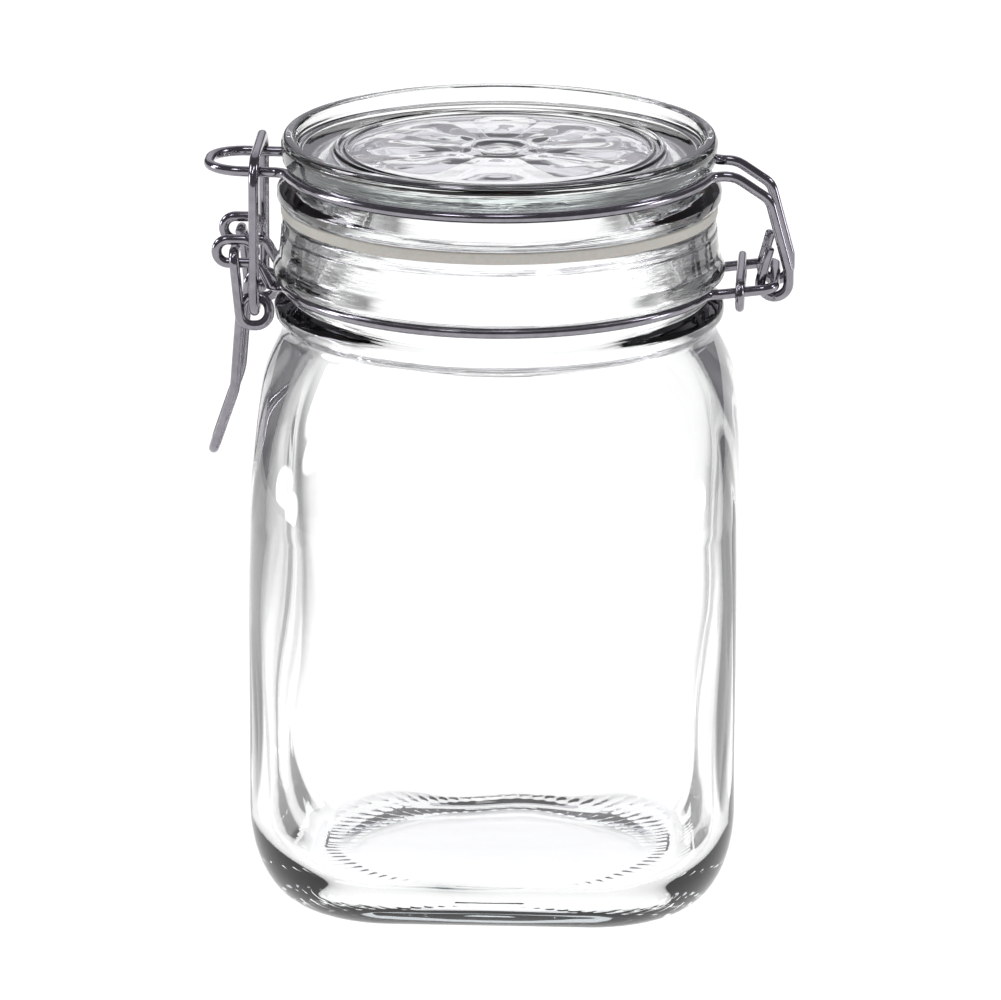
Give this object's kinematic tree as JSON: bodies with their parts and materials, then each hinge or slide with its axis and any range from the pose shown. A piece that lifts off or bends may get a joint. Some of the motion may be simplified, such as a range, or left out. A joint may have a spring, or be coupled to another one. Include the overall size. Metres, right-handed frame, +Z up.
{
  "type": "wire-bale storage jar",
  "caption": "Square clear glass storage jar with a hinged glass lid, rubber gasket and swing-over wire closure.",
  "frame": {"origin": "jar axis at the table", "axes": "+Z up along the jar axis, +X to the lid's hinge, -X to the latch lever, +Y along the hinge axis"},
  "size_m": [0.131, 0.108, 0.171],
  "materials": {
    "clear_glass": "polished",
    "gasket_rubber": "satin",
    "steel_wire": "drawn"
  },
  "bodies": {
    "jar": {"jar_body": "clear_glass", "neck_wire": "steel_wire", "tie_clip": "steel_wire"},
    "lid": {"lid": "clear_glass", "gasket": "gasket_rubber", "lid_wire": "steel_wire"},
    "lever": {"lever": "steel_wire"},
    "bail": {"bail": "steel_wire"}
  },
  "joints": [
    {"name": "lid_hinge", "type": "hinge", "parent": "jar", "child": "lid", "pos_m": [0.06125, 0, 0.1395], "axis": [0, 1, 0], "range_deg": [0, 190]},
    {"name": "lever_hinge", "type": "hinge", "parent": "jar", "child": "lever", "pos_m": [-0.0582, 0, 0.1458], "axis": [0, 1, 0], "range_deg": [0, 130]},
    {"name": "bail_hinge", "type": "hinge", "parent": "lever", "child": "bail", "pos_m": [-0.05346, 0, 0.1331], "axis": [0, 1, 0], "range_deg": [-156, 0]}
  ],
  "couplings": [
    {"joint": "bail_hinge", "follows": "lever_hinge", "ratio": -1.2}
  ]
}
